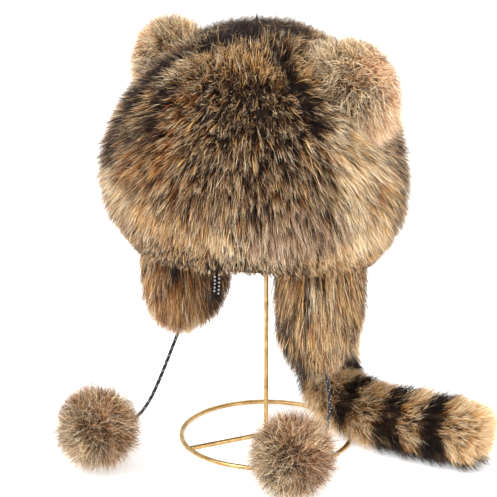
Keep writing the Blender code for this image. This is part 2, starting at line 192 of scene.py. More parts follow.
# Profiles from rim to top, evenly spaced along them
SKIN_ROWS = (
    # share of half width, share of height
    (1.00, 0.00),
    (1.03, 0.18),
    (1.03, 0.37),
    (0.98, 0.55),
    (0.87, 0.72),
    (0.70, 0.86),
    (0.47, 0.95),
    (0.24, 0.99),
    (0.00, 1.00),
)
FUR_ROWS = (
    # share of half width, share of height
    (0.80, 0.00),
    (0.95, 0.14),
    (1.00, 0.32),
    (0.97, 0.50),
    (0.86, 0.68),
    (0.69, 0.82),
    (0.47, 0.92),
    (0.24, 0.98),
    (0.00, 1.00),
)
EAR_ROWS = (
    # share of half width, share of height
    (0.86, 0.00),
    (0.98, 0.22),
    (1.00, 0.45),
    (0.90, 0.68),
    (0.66, 0.86),
    (0.36, 0.97),
    (0.00, 1.00),
)
FLAP_ROWS = (
    # share of half width, share of drop
    (0.92, 0.00),
    (0.99, 0.22),
    (1.00, 0.44),
    (0.94, 0.65),
    (0.76, 0.83),
    (0.45, 0.96),
    (0.00, 1.00),
)
TAIL_THICKNESS = (
    # share of tail radius, from the root to the round end
    (0.80,),
    (0.96,),
    (1.00,),
    (1.00,),
    (1.00,),
    (1.00,),
    (1.04,),
    (1.04,),
    (1.00,),
)
TAIL_ROUTE = (
    # share of reach to the left, share of the root's distance behind, share of the root's height
    (0.03, 1.02, 0.89),
    (0.05, 0.98, 0.65),
    (0.07, 0.90, 0.42),
    (0.11, 0.74, 0.20),
    (0.20, 0.57, 0.06),
    (0.32, 0.46, 0.01),
    (0.48, 0.42, 0.00),
    (0.64, 0.42, 0.00),
    (0.78, 0.45, 0.00),
    (0.92, 0.49, 0.00),
    (1.00, 0.48, 0.00),
)

# The cords' routes, from inside the flap's tip to the middle of the pompom
POMPOM_LEFT = (0.094, -0.097, POMPOM_REST)
POMPOM_RIGHT = (-0.073, -0.143, POMPOM_REST)
CORD_ROUTE_LEFT = (
    (0.0740, -0.0210, 0.1010),
    (0.0755, -0.0212, 0.0880),
    (0.0790, -0.0216, 0.0720),
    (0.0815, -0.0230, 0.0560),
    (0.0820, -0.0265, 0.0400),
    (0.0825, -0.0315, 0.0260),
    (0.0850, -0.0410, 0.0160),
    (0.0880, -0.0540, 0.0130),
    (0.0905, -0.0680, 0.0170),
    (0.0925, -0.0820, 0.0275),
    POMPOM_LEFT,
)
CORD_ROUTE_RIGHT = (
    (-0.0740, -0.0200, 0.1150),
    (-0.0748, -0.0205, 0.1020),
    (-0.0750, -0.0280, 0.0910),
    (-0.0710, -0.0420, 0.0815),
    (-0.0655, -0.0590, 0.0715),
    (-0.0595, -0.0775, 0.0615),
    (-0.0545, -0.0960, 0.0520),
    (-0.0530, -0.1130, 0.0445),
    (-0.0570, -0.1280, 0.0400),
    (-0.0640, -0.1380, 0.0390),
    POMPOM_RIGHT,
)

# The coats: each hair's colour from its root to its tip, as places along it and 8-bit sRGB colours. Each is
# darkest at the root, partly the hair's own banding and partly painted shade deep in the fur.
COATS = {
    "black": ((0.0, (16, 11, 10)), (0.55, (30, 21, 18)), (0.85, (38, 29, 27)), (1.0, (62, 54, 52))),
    "dark": ((0.0, (22, 13, 9)), (0.50, (48, 29, 18)), (0.80, (84, 54, 34)), (1.0, (66, 46, 34))),
    "agouti": ((0.0, (24, 14, 9)), (0.60, (58, 36, 22)), (0.80, (190, 152, 108)), (1.0, (246, 228, 198))),
    "cream": ((0.0, (72, 46, 28)), (0.45, (166, 124, 80)), (0.72, (240, 216, 172)), (1.0, (255, 247, 228))),
    "gold": ((0.0, (58, 34, 16)), (0.45, (150, 98, 48)), (0.75, (222, 174, 106)), (1.0, (248, 216, 164))),
    "rust": ((0.0, (32, 16, 8)), (0.45, (100, 54, 22)), (0.78, (170, 104, 46)), (1.0, (206, 152, 92))),
    "peach": ((0.0, (92, 54, 34)), (0.45, (188, 128, 90)), (0.75, (230, 182, 142)), (1.0, (250, 224, 194))),
    "taupe": ((0.0, (46, 28, 21)), (0.45, (112, 76, 56)), (0.75, (182, 144, 116)), (1.0, (234, 210, 184))),
}

# The darkest that a hair's ramp is lit, and how much brighter it can be
HAIR_DIMMEST = 0.65
HAIR_BRIGHTER = 0.7

# How many hairs of each coat, in hundredths, grow in a mix
MIXES = {
    # black, dark, agouti, cream, gold, rust, peach, taupe
    "brown": (16, 24, 44, 4, 6, 4, 0, 2),
    "night": (84, 13, 3, 0, 0, 0, 0, 0),
    "shade": (30, 36, 30, 0, 2, 2, 0, 0),
    "cream": (0, 5, 11, 66, 16, 0, 2, 0),
    "gold": (2, 12, 16, 12, 52, 6, 0, 0),
    "rust": (6, 26, 12, 6, 14, 36, 0, 0),
    "flap": (12, 29, 22, 3, 26, 8, 0, 0),
    # The tail's mix is paler than its own gold: partly its colour, partly painted light on a tail that the
    # hat shades
    "tail": (0, 0, 0, 62, 36, 2, 0, 0),
    "peach": (0, 4, 4, 30, 8, 4, 50, 0),
    "taupe": (4, 18, 36, 4, 0, 0, 0, 38),
    "pompom": (4, 24, 24, 8, 4, 14, 2, 20),
    "white": (6, 22, 26, 46, 0, 0, 0, 0),
}

# The underfur, whose dark colour is partly its own and partly painted shade deep in the fur: how far out in
# the fur it lies, and its dark and light patches
UNDERFUR_AND_SHADE = {
    "crown": (0.52, (20, 13, 10), (62, 42, 29)),
    "ear": (0.45, (70, 44, 29), (150, 100, 66)),
    "flap": (0.50, (26, 16, 10), (84, 54, 30)),
    "tail": (0.60, (30, 20, 13), (92, 62, 36)),
    "pompom": (0.50, (34, 22, 17), (96, 68, 52)),
}

# The studio
LIGHTS = (
    # name, place, size, power
    ("key_light", (-0.3, -1.7, 1.7), 0.9, 44),
    ("fill_light", (2.1, -0.5, 1.1), 1.4, 22),
    ("top_light", (0.2, 0.7, 2.2), 1.6, 24),
    ("low_light", (1.5, -1.3, 0.45), 0.9, 9),
)
LIGHTS_AIM = (0, 0, 0.18)
SKY_STRENGTH = 0.85
FLOOR_GLOW = 0.45
FLOOR_HALF_WIDTH = 12.0


class Dome(NamedTuple):
    """A form that is open or flat at its rim and closes at its top, with an oval plan."""

    half_x: float
    half_y: float
    height: float
    rows: tuple


class Growth(NamedTuple):
    """How hair grows on a form.

    Root and length are shares of the depth of its fur, slide is how far its tips are combed along the
    form, spread and stray are distances on a form of radius 1, and the other sizes are in metres. Gather
    is how far a lock's tips draw together, and spread_of is how much of the spread goes each way.
    """

    hairs: int
    per_lock: int
    spread: float
    stray: float
    gather: float
    root: float
    length: float
    slide: float
    droop: float
    curl: float
    width: float
    spread_of: tuple = (1, 1, 1)


class Fur(NamedTuple):
    """One form's hair: the form's points, the places of its locks, its coats' chances and its growth."""

    point: Callable
    places: Callable
    chart: Callable
    growth: Growth
    seed: int


class Patch(NamedTuple):
    """A stretch of fur with a mix of its own, from one place on a form to another."""

    start: tuple
    end: tuple
    radius: float
    strength: float
    mix: str


# Small mathematics


def unit(vectors):
    return vectors / np.maximum(np.linalg.norm(vectors, axis=-1, keepdims=True), 1e-9)


def along(rows, share):
    """Reads rows that are spaced evenly from share 0 to 1 as one smooth curve, straight on before 0."""
    rows = np.asarray(rows, float)
    place = np.minimum(share, 1.0) * (len(rows) - 1)
    index = np.clip(place.astype(int), 0, len(rows) - 2)
    t = (place - index)[:, None]
    before = rows[np.maximum(index - 1, 0)]
    start = rows[index]
    end = rows[index + 1]
    after = rows[np.minimum(index + 2, len(rows) - 1)]
    leaving = (end - before) / 2
    arriving = (after - start) / 2
    bend = 3 * (end - start) - 2 * leaving - arriving
    twist = 2 * (start - end) + leaving + arriving
    curve = start + leaving * t + bend * t**2 + twist * t**3
    return np.where(t < 0, start + (end - start) * t, curve)


def turned(turn, climb):
    """Unit directions that look at places a turn round from the front, and a climb from rim to top."""
    polar = (1.0 - np.asarray(climb)) * np.pi / 2
    round_from_front = np.radians(turn)
    return np.stack(
        (np.sin(polar) * np.sin(round_from_front), -np.sin(polar) * np.cos(round_from_front), np.cos(polar)),
        axis=-1,
    )


def whole_sphere(count, rng):
    """Even random directions."""
    return unit(rng.normal(size=(count, 3)))


def upper_half(count, rng):
    """Even random directions on the upper half of a sphere."""
    directions = whole_sphere(count, rng)
    directions[:, 2] = np.abs(directions[:, 2])
    return directions


def ring_directions(climb, sides):
    """Directions all round a dome at one climb."""
    return turned(np.arange(sides) * 360 / sides, np.full(sides, climb))


# The hat's forms


def climb_of(directions):
    """How far up a dome a direction looks, from 0 at its rim to 1 at its top."""
    return 1.0 - np.arccos(np.clip(np.abs(directions[:, 2]), 0.0, 1.0)) / (np.pi / 2)


def dome_points(form, directions, slide=0.0):
    """The places on a dome where directions from its middle look, slid down it by a share of its climb."""
    rows = along(form.rows, climb_of(directions) - slide)
    flat = unit(directions[:, :2])
    return np.column_stack((flat * rows[:, :1] * (form.half_x, form.half_y), rows[:, 1] * form.height))


def hem_shift(y, share_above):
    """How far the hem's slope lifts a place, which fades towards the top."""
    return -HEM_LIFT * y / (HEAD_LENGTH / 2) * (1.0 - share_above)


def on_crown(points):
    """Sets points of the crown, given from the middle of its hem, in their place."""
    share_above = np.clip(points[:, 2] / HEAD_DEPTH, 0.0, 1.0)
    lift = hem_shift(points[:, 1], share_above)
    return points + np.column_stack((0 * lift, 0 * lift - CROWN_FORWARD, HEM_HEIGHT + lift))


def skin(wall):
    """The dome over the head, a wall outside its own size."""
    return Dome(HEAD_WIDTH / 2 + wall, HEAD_LENGTH / 2 + wall, HEAD_DEPTH + wall, SKIN_ROWS)


def crown_point(directions, depth, slide=0.0):
    """Points of the crown's fur, from depth 0 on the leather to depth 1 at its tips."""
    leather = skin(LEATHER)
    root = dome_points(leather, directions)
    root[:, 2] -= FUR_FRINGE * np.clip(1.0 - directions[:, 2] * FRINGE_FADE, 0.0, 1.0)
    height = leather.height + FUR_FRINGE + FUR_TOP_DEPTH
    tips = Dome(leather.half_x + FUR_DEPTH, leather.half_y + FUR_DEPTH, height, FUR_ROWS)
    climb = climb_of(directions)
    combed = slide * (1.0 - climb) ** 2 * np.clip(climb / COMB_FULL_FROM, COMB_LEAST, 1.0)
    tip = dome_points(tips, directions, combed)
    tip[:, 2] += FUR_CREST * np.clip((climb - CREST_FROM) / CREST_RUN, 0.0, 1.0) - FUR_FRINGE
    return on_crown(root + (tip - root) * np.reshape(depth, (-1, 1)))


def ear_frame(side):
    """Where an ear stands: square on the leather high at the side, turned about its own length."""
    leather = skin(LEATHER)
    small_step = 0.0025
    width, height = along(SKIN_ROWS, np.array([EAR_CLIMB]))[0]
    narrower, higher = along(SKIN_ROWS, np.array([EAR_CLIMB + small_step]))[0] - (width, height)
    tilt = math.atan2(higher * leather.height, -narrower * leather.half_x)
    seat = on_crown(np.array([[side * width * leather.half_x, EAR_FORWARD, height * leather.height]]))[0]
    turn = Matrix.Rotation(side * tilt, 3, "Y") @ Matrix.Rotation(side * EAR_SPLAY, 3, "Z")
    return seat, np.array(turn)


def ear_point(side):
    """Makes an ear's points, from depth 0 in its core to depth 1 at its tips."""
    seat, turn = ear_frame(side)
    core = Dome(EAR_WIDTH * EAR_CORE[0], EAR_THICKNESS * EAR_CORE[1], EAR_HEIGHT * EAR_CORE[2], EAR_ROWS)
    outline = Dome(EAR_WIDTH / 2 * EAR_FLUFF, EAR_THICKNESS / 2 * EAR_FLUFF, EAR_HEIGHT, EAR_ROWS)

    def point(directions, depth, slide=0.0):
        root = dome_points(core, directions)
        tip = dome_points(outline, directions, slide * (1.0 - climb_of(directions)))
        return seat + (root + (tip - root) * np.reshape(depth, (-1, 1))) @ turn.T

    return point


def flap_point(side, drop):
    """Makes a flap's points, from depth 0 in its core to depth 1 at its tips."""
    core = Dome(FLAP_THICKNESS * FLAP_CORE[0], FLAP_WIDTH * FLAP_CORE[1], drop * FLAP_CORE[2], FLAP_ROWS)
    outline = Dome(FLAP_THICKNESS / 2, FLAP_WIDTH / 2, drop, FLAP_ROWS)
    middle = np.array([side * (skin(LEATHER).half_x - FLAP_INSET), -FLAP_FORWARD, 0.0])

    def point(directions, depth, slide=0.0):
        root = dome_points(core, directions)
        tip = dome_points(outline, directions, -slide * (1.0 - climb_of(directions)))
        local = root + (tip - root) * np.reshape(depth, (-1, 1))
        hung = local * (1, 1, -1) + middle
        lift = hem_shift(hung[:, 1], np.clip(local[:, 2] / drop, 0.0, 1.0))
        return hung + np.column_stack((0 * lift, 0 * lift - CROWN_FORWARD, HEM_HEIGHT + lift))

    return point


def tail_axis(stations=121):
    """Middles along the tail, each with its direction and two directions across it."""
    behind = skin(LEATHER).half_y + TAIL_ROOT_BEHIND
    top = HEM_HEIGHT + hem_shift(behind + TAIL_RADIUS, 0.0)
    root = np.array([TAIL_ROOT_ASIDE, behind - CROWN_FORWARD, top])
    lying = TAIL_RADIUS - TAIL_PRESS
    rows = np.array(TAIL_ROUTE)
    route = rows * (TAIL_REACH, root[1], root[2] - lying) + (0, 0, lying)
    middles = along(np.vstack((root, route)), np.linspace(0, 1, stations))
    tangents = unit(np.gradient(middles, axis=0))
    tangents[0] = (0, 0, -1)
    across = [np.array([1.0, 0.0, 0.0])]
    for tangent in tangents:
        last = across[-1]
        across.append(unit(last - tangent * last.dot(tangent)))
    across = np.array(across[1:])
    return middles, tangents, across, np.cross(tangents, across)


def tail_point():
    """Places on the tail hold the share along it and a direction across it. Its round end comes last."""
    middles, tangents, across, other = tail_axis()
    shares = np.linspace(0, 1, len(middles))

    def read(columns, share):
        return np.column_stack([np.interp(share, shares, columns[:, k]) for k in range(3)])

    def point(places, depth, slide=0.0):
        share = np.clip(places[:, 0], 0.0, TAIL_CAP_FROM)
        turn = unit(places[:, 1:3])
        thickness = along(TAIL_THICKNESS, share)[:, 0]
        radial = unit(turn[:, :1] * read(across, share) + turn[:, 1:] * read(other, share))
        tangent = unit(read(tangents, share))
        round_end = np.clip((places[:, 0] - TAIL_CAP_FROM) / TAIL_CAP_SHARE, 0.0, 1.0) * np.pi / 2
        reach = depth * TAIL_RADIUS * thickness * np.cos(round_end)
        ahead = depth * (slide * np.cos(round_end) + TAIL_CAP_REACH * np.sin(round_end))
        return read(middles, share) + radial * reach[:, None] + tangent * ahead[:, None]

    return point


def pompom_point(middle):
    """Makes a pompom's points, from depth 0 at its middle to depth 1 at its tips. None of them slides."""

    def point(directions, depth, slide=0.0):
        return np.array(middle) + unit(directions) * POMPOM_RADIUS * np.reshape(depth, (-1, 1))

    return point


# Hair


def above_surface(points):
    """Lifts points that lie in the surface, or inside the base ring in its wire."""
    inside = np.hypot(points[:, 0], points[:, 1]) < RING_RADIUS + WIRE
    lowest = np.where(inside, WIRE + HAIR_CLEARANCE, HAIR_CLEARANCE)
    points[:, 2] = np.maximum(points[:, 2], lowest)
    return points


def chances_of(mix, count):
    """The chances of the coats in one mix, for each of a number of hairs."""
    return np.tile(np.array(MIXES[mix], float) / 100, (count, 1))


def toward(chances, mix, near):
    """Changes the chances of the coats towards a mix, as far as each hair is near to it."""
    near = near[:, None]
    return chances * (1.0 - near) + np.array(MIXES[mix], float) / 100 * near


def patched(point, base, patches):
    """Makes a chart of a dome's coats: a base mix, and patches from one turn and climb to another."""

    def chart(tips, _):
        chances = chances_of(base, len(tips))
        for patch in patches:
            turns, climbs = np.array((patch.start, patch.end), float).T
            start, end = point(turned(turns, climbs), np.array((PATCH_DEPTH, PATCH_DEPTH)))
            run = end - start
            share = np.clip((tips - start) @ run / max(run @ run, 1e-9), 0.0, 1.0)
            away = np.linalg.norm(tips - start - share[:, None] * run, axis=1)
            fade = np.exp(-((away / patch.radius) ** PATCH_SHARPNESS) * PATCH_FALL)
            chances = toward(chances, patch.mix, patch.strength * fade)
        return chances

    return chart


def mirrored(patch, side):
    """The patch itself on the left side, and its mirror image on the right."""
    start, end = patch.start, patch.end
    return patch._replace(start=(side * start[0], start[1]), end=(side * end[0], end[1]))


def drawn(chances, lock, rng):
    """Draws each hair's coat from its chances. Most hairs of a lock draw alike."""
    steps = np.cumsum(chances, axis=1)
    count = len(chances)
    shared = rng.random(lock[-1] + 1)[lock]
    draw = np.where(rng.random(count) < LOCK_LIKENESS, shared, rng.random(count)) * steps[:, -1]
    return (draw[:, None] > steps[:, :-1]).sum(axis=1)


def ribbons(name, roots, bends, tips, half_widths, coats, rng):
    """Makes each hair a flat ribbon of a four-sided face and a pointed one, and maps its coat."""
    count = len(roots)
    narrower = half_widths * HAIR_TAPER
    corners = (roots - half_widths, roots + half_widths, bends - narrower, bends + narrower, tips)
    places = above_surface(np.stack(corners, axis=1).reshape(-1, 3))
    each = np.arange(count)[:, None]
    loops = each * RIBBON_CORNERS + np.array(RIBBON_LOOPS)
    starts = each * len(RIBBON_LOOPS) + np.array(RIBBON_FACE_STARTS)
    mesh = bpy.data.meshes.new(name)
    mesh.vertices.add(len(places))
    mesh.vertices.foreach_set("co", places.astype(np.float32).ravel())
    mesh.loops.add(loops.size)
    mesh.loops.foreach_set("vertex_index", loops.astype(np.int32).ravel())
    mesh.polygons.add(starts.size)
    mesh.polygons.foreach_set("loop_start", starts.astype(np.int32).ravel())
    mesh.polygons.foreach_set("use_smooth", np.ones(starts.size, bool))
    mesh.update(calc_edges=True)
    place_on_map(mesh, coats, rng)
    return object_of(name, mesh, hair_material())


def place_on_map(mesh, coats, rng):
    """Across the map is the way along the hair, and up is the coat and, within it, the brightness."""
    count = len(coats)
    up = (coats + rng.uniform(*MAP_BRIGHTNESS, count)) / len(COATS)
    at_root = rng.uniform(*MAP_ROOT, count)
    at_bend = 0.5 + at_root / 2
    at_tip = np.full(count, MAP_TIP)
    across = np.stack((at_root, at_root, at_bend, at_bend, at_bend, at_bend, at_tip), axis=1)
    low, high = up - MAP_HALF_HEIGHT, up + MAP_HALF_HEIGHT
    upward = np.stack((low, high, high, low, low, high, up), axis=1)
    layer = mesh.uv_layers.new(name="OFBake")
    layer.uv.foreach_set("vector", np.stack((across, upward), axis=2).astype(np.float32).ravel())


def planted(fur, rng):
    """Each hair's lock, and the places on the form of its root and of its tip."""
    growth = fur.growth
    locks = growth.hairs // growth.per_lock
    lock_places = fur.places(locks, rng)
    lock = np.repeat(np.arange(locks), growth.per_lock)
    count = len(lock)
    ways = np.array(growth.spread_of)
    offset = rng.normal(size=(count, 3)) * growth.spread * ways
    wander = rng.normal(size=(locks, 3))[lock] * growth.spread * LOCK_WANDER * ways
    stray = rng.normal(size=(count, 3)) * growth.stray * ways
    tip_places = lock_places[lock] + offset * (1.0 - growth.gather) + wander + stray
    return lock, lock_places[lock] + offset, tip_places


def bends_of(roots, tips, outward):
    """The middles of hairs that leave their roots outward and then turn to their tips, as arcs do."""
    run = np.linalg.norm(tips - roots, axis=1)[:, None]
    control = roots + unit(outward) * run * 0.5
    return 0.25 * roots + 0.5 * control + 0.25 * tips


def sides_of(ahead, outward, rng):
    """Directions across the hairs. The skew outweighs the way they lie, so they face all ways round."""
    count = len(ahead)
    skew = rng.normal(size=(count, 3)) * np.linalg.norm(outward) * HAIR_SKEW
    flat = unit(np.cross(ahead, outward) + skew)
    roll = rng.normal(0.0, HAIR_ROLL, count)[:, None]
    return unit(flat * np.cos(roll) + np.cross(ahead, flat) * np.sin(roll))


def grow(name, fur):
    """Grows one form's hair in locks whose tips gather, and rides it on the hat."""
    rng = np.random.default_rng(fur.seed)
    growth = fur.growth
    lock, root_places, tip_places = planted(fur, rng)
    count = len(lock)
    lengths = rng.uniform(*LOCK_LENGTHS, lock[-1] + 1)[lock] * rng.uniform(*HAIR_LENGTHS, count)
    lengths *= growth.length
    guards = rng.random(count) < GUARD_SHARE
    lengths[guards] *= rng.uniform(1.0, GUARD_LENGTH, guards.sum())
    roots = fur.point(root_places, np.full(count, growth.root))
    tips = fur.point(tip_places, lengths, growth.slide * rng.uniform(*HAIR_SLIDES, count))
    outward = fur.point(root_places, np.full(count, growth.root + OUTWARD_STEP)) - roots
    bends = bends_of(roots, tips, outward) + rng.normal(size=(count, 3)) * growth.curl
    tips += rng.normal(size=(count, 3)) * growth.curl
    tips[:, 2] -= growth.droop * rng.uniform(*HAIR_DROOPS, count)
    sides = sides_of(unit(tips - roots), outward, rng)
    widths = rng.uniform(*HAIR_WIDTHS, count) * growth.width
    widths[guards] *= GUARD_WIDTH
    coats = drawn(fur.chart(tips, tip_places), lock, rng)
    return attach(ribbons(name, roots, bends, tips, sides * widths[:, None] / 2, coats, rng), "root")


# Materials


def linear(colour):
    """An 8-bit sRGB colour as linear light."""
    shares = [part / 255 for part in colour]
    return [s / 12.92 if s <= 0.04045 else ((s + 0.055) / 1.055) ** 2.4 for s in shares]


def new_material(name, roughness, metallic=0.0):
    made = bpy.data.materials.new(name)
    made.use_nodes = True
    shader = made.node_tree.nodes["Principled BSDF"]
    shader.inputs["Roughness"].default_value = roughness
    shader.inputs["Metallic"].default_value = metallic
    return made, made.node_tree, shader


def add_node(tree, kind, **settings):
    node = tree.nodes.new(kind)
    for name, value in settings.items():
        setattr(node, name, value)
    return node


def ramp(tree, stops, source):
    node = add_node(tree, "ShaderNodeValToRGB")
    elements = node.color_ramp.elements
    while len(elements) < len(stops):
        elements.new(0.5)
    for element, (place, colour) in zip(elements, stops):
        element.position = place
        element.color = (*linear(colour), 1.0)
    tree.links.new(source, node.inputs["Fac"])
    return node.outputs["Color"]


def math_node(tree, operation, *values):
    """A number worked out from up to three values, each a plain number or another node's output."""
    node = add_node(tree, "ShaderNodeMath", operation=operation)
    for socket, value in zip(node.inputs, values):
        if isinstance(value, (int, float)):
            socket.default_value = value
        else:
            tree.links.new(value, socket)
    return node.outputs[0]


def mixed(tree, share, first, second):
    node = add_node(tree, "ShaderNodeMix", data_type="RGBA")
    colours = [socket for socket in node.inputs if socket.type == "RGBA"]
    tree.links.new(share, node.inputs["Factor"])
    for socket, value in zip(colours, (first, second)):
        if isinstance(value, (tuple, list)):
            socket.default_value = (*linear(value), 1.0)
        else:
            tree.links.new(value, socket)
    return next(socket for socket in node.outputs if socket.type == "RGBA")


def noise(tree, scale, detail=4.0, roughness=0.6):
    place = add_node(tree, "ShaderNodeTexCoord")
    node = add_node(tree, "ShaderNodeTexNoise")
    node.inputs["Scale"].default_value = scale
    node.inputs["Detail"].default_value = detail
    node.inputs["Roughness"].default_value = roughness
    tree.links.new(place.outputs["Object"], node.inputs["Vector"])
    return node.outputs["Fac"]


def bump(tree, shader, height, strength, distance):
    node = add_node(tree, "ShaderNodeBump")
    node.inputs["Strength"].default_value = strength
    node.inputs["Distance"].default_value = distance
    tree.links.new(height, node.inputs["Height"])
    tree.links.new(node.outputs["Normal"], shader.inputs["Normal"])


def hair_material():
    """One material for every hair: a ramp for each coat, chosen and lit by the place on the map."""
    known = bpy.data.materials.get("hair")
    if known:
        return known
    made, tree, shader = new_material("hair", roughness=0.55)
    shader.inputs["Specular IOR Level"].default_value = 0.35
    place = add_node(tree, "ShaderNodeUVMap", uv_map="OFBake")
    parts = add_node(tree, "ShaderNodeSeparateXYZ")
    tree.links.new(place.outputs["UV"], parts.inputs[0])
    way, up = parts.outputs["X"], parts.outputs["Y"]
    coats = list(COATS.values())
    # Each ramp runs dark at the root: partly the hair's own colour, partly painted shade deep in the fur
    colour = ramp(tree, coats[0], way)
    for index, stops in enumerate(coats[1:], start=1):
        past = math_node(tree, "GREATER_THAN", up, index / len(coats))
        colour = mixed(tree, past, colour, ramp(tree, stops, way))
    within = math_node(tree, "FRACT", math_node(tree, "MULTIPLY", up, len(coats)))
    light = math_node(tree, "MULTIPLY_ADD", within, HAIR_BRIGHTER, HAIR_DIMMEST)
    scaled = add_node(tree, "ShaderNodeVectorMath", operation="SCALE")
    tree.links.new(colour, scaled.inputs[0])
    tree.links.new(light, scaled.inputs["Scale"])
    tree.links.new(scaled.outputs[0], shader.inputs["Base Color"])
    return made


# The underfur's colour: partly its own, partly painted shade deep between the hairs
def underfur_and_shade_material(name, dark, light):
    made, tree, shader = new_material(name, roughness=0.95)
    patchy = noise(tree, scale=900, detail=3.0)
    tree.links.new(mixed(tree, patchy, dark, light), shader.inputs["Base Color"])
    bump(tree, shader, patchy, strength=0.8, distance=0.002)
    return made


def brass_material():
    made, tree, shader = new_material("brass_wire", roughness=0.34, metallic=1.0)
    worn = noise(tree, scale=140, detail=6.0, roughness=0.7)
    stops = ((0.35, (168, 132, 78)), (0.55, (208, 174, 116)), (0.75, (226, 198, 146)))
    tree.links.new(ramp(tree, stops, worn), shader.inputs["Base Color"])
    rough = math_node(tree, "MULTIPLY_ADD", noise(tree, scale=420), 0.25, 0.22)
    tree.links.new(rough, shader.inputs["Roughness"])
    bump(tree, shader, noise(tree, scale=900), strength=0.15, distance=0.0003)
    return made


def leather_material():
    made, tree, shader = new_material("leather_suede", roughness=0.85)
    blotch = noise(tree, scale=60, detail=6.0)
    stops = ((0.3, (70, 46, 32)), (0.55, (108, 76, 54)), (0.75, (134, 100, 74)))
    tree.links.new(ramp(tree, stops, blotch), shader.inputs["Base Color"])
    bump(tree, shader, noise(tree, scale=1800, detail=8.0), strength=0.5, distance=0.0006)
    return made


def cord_material():
    made, tree, shader = new_material("cord_thread", roughness=0.6)
    braid = noise(tree, scale=1400, detail=2.0)
    tree.links.new(mixed(tree, braid, (6, 6, 7), (22, 21, 22)), shader.inputs["Base Color"])
    bump(tree, shader, braid, strength=0.7, distance=0.0005)
    return made


def speck_material():
    made, tree, shader = new_material("cord_specks", roughness=0.25, metallic=0.3)
    tarnish = noise(tree, scale=700, detail=2.0)
    tree.links.new(mixed(tree, tarnish, (205, 205, 210), (250, 250, 252)), shader.inputs["Base Color"])
    return made


def floor_material():
    """A white sweep that glows a little, as in a cut-out photo, so that shadows on it stay light."""
    made, tree, shader = new_material("floor_pale", roughness=0.9)
    shader.inputs["Emission Color"].default_value = (1.0, 1.0, 1.0, 1.0)
    shader.inputs["Emission Strength"].default_value = FLOOR_GLOW
    grain = noise(tree, scale=6, detail=3.0)
    tree.links.new(mixed(tree, grain, (243, 243, 243), (248, 248, 248)), shader.inputs["Base Color"])
    return made


# Meshes


def object_of(name, mesh, material):
    mesh.materials.append(material)
    made = bpy.data.objects.new(name, mesh)
    bpy.context.scene.collection.objects.link(made)
    return made


def smooth_object(name, bm, material):
    bmesh.ops.recalc_face_normals(bm, faces=bm.faces)
    mesh = bpy.data.meshes.new(name)
    bm.to_mesh(mesh)
    bm.free()
    mesh.shade_smooth()
    return object_of(name, mesh, material)


def join_rows(bm, rows):
    """Joins each closed row of corners to the next one with four-sided faces."""
    for low, high in zip(rows, rows[1:]):
        for a, b, c, d in zip(low, low[1:] + low[:1], high[1:] + high[:1], high):
            bm.faces.new((a, b, c, d))


def surface(name, rings, material, both_ends=False):
    """A smooth skin through closed rings of points, with a face across its last ring or both ends."""
    bm = bmesh.new()
    rows = [[bm.verts.new(point) for point in ring] for ring in rings]
    join_rows(bm, rows)
    if both_ends:
        bm.faces.new(rows[0])
    bm.faces.new(rows[-1])
    return smooth_object(name, bm, material)


def dome_rings(point, depth, steps=24, sides=72):
    """Rings of a form at one depth of its fur, from just inside its rim to its top."""
    rings = [point(ring_directions(0.0, sides), np.full(sides, depth * SKIN_TUCK))]
    for climb in np.linspace(0.0, SKIN_TOP, steps):
        rings.append(point(ring_directions(climb, sides), np.full(sides, depth)))
    return [above_surface(ring) for ring in rings]


def ball(bm, middle, radius, subdivisions):
    place = Matrix.Translation(middle)
    bmesh.ops.create_icosphere(bm, subdivisions=subdivisions, radius=radius, matrix=place)


# The cords, and the camera


def read_curve(route, count=401):
    return along(np.array(route, float), np.linspace(0, 1, count))


def length_of(points):
    return float(np.linalg.norm(np.diff(points, axis=0), axis=1).sum())


def at_distances(points, distances):
    """The places at some distances along a line of points."""
    walked = np.r_[0.0, np.cumsum(np.linalg.norm(np.diff(points, axis=0), axis=1))]
    return np.column_stack([np.interp(distances, walked, points[:, k]) for k in range(3)])


def tie_curve(name, points):
    """A round cord through points, as a curve."""
    curve = bpy.data.curves.new(name, "CURVE")
    curve.dimensions = "3D"
    curve.bevel_depth = CORD / 2
    curve.bevel_resolution = 3
    curve.use_fill_caps = True
    spline = curve.splines.new("POLY")
    spline.points.add(len(points) - 1)
    for place, point in zip(spline.points, points):
        place.co = (*point, 1.0)
    return curve


def cord(name, route):
    """A tie cord on its route, with its two rows of silvery specks."""
    fine = read_curve(route)
    length = length_of(fine)
    points = at_distances(fine, np.linspace(0.0, length, round(length / CORD_STEP) + 1))
    made = object_of(name + "_tie", tie_curve(name + "_tie", points), cord_material())
    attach(made, "root")
    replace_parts(made, name)
    specks = cord_specks(name + "_specks", points)
    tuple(route[0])


def cord_specks(name, points):
    """Small bright beads in two rows that wind round the cord."""
    length = length_of(points)
    count = round(length / SPECK_STEP) * 2
    distances = length * (np.arange(count) // 2 + 0.5) * 2 / count
    middles = at_distances(points, distances)
    further = at_distances(points, distances + SPECK_LOOK_AHEAD)
    bm = bmesh.new()
    for index in range(count):
        middle = Vector(middles[index])
        ahead = Vector(further[index]) - middle
        side = ahead.orthogonal().normalized()
        turn = (index // 2) * SPECK_TURN + (index % 2) * math.pi
        side.rotate(Matrix.Rotation(turn, 3, ahead.normalized()))
        ball(bm, middle + side * CORD / 2, SPECK_RADIUS, subdivisions=1)
    made = smooth_object(name, bm, speck_material())
    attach(made, "root")
    return made


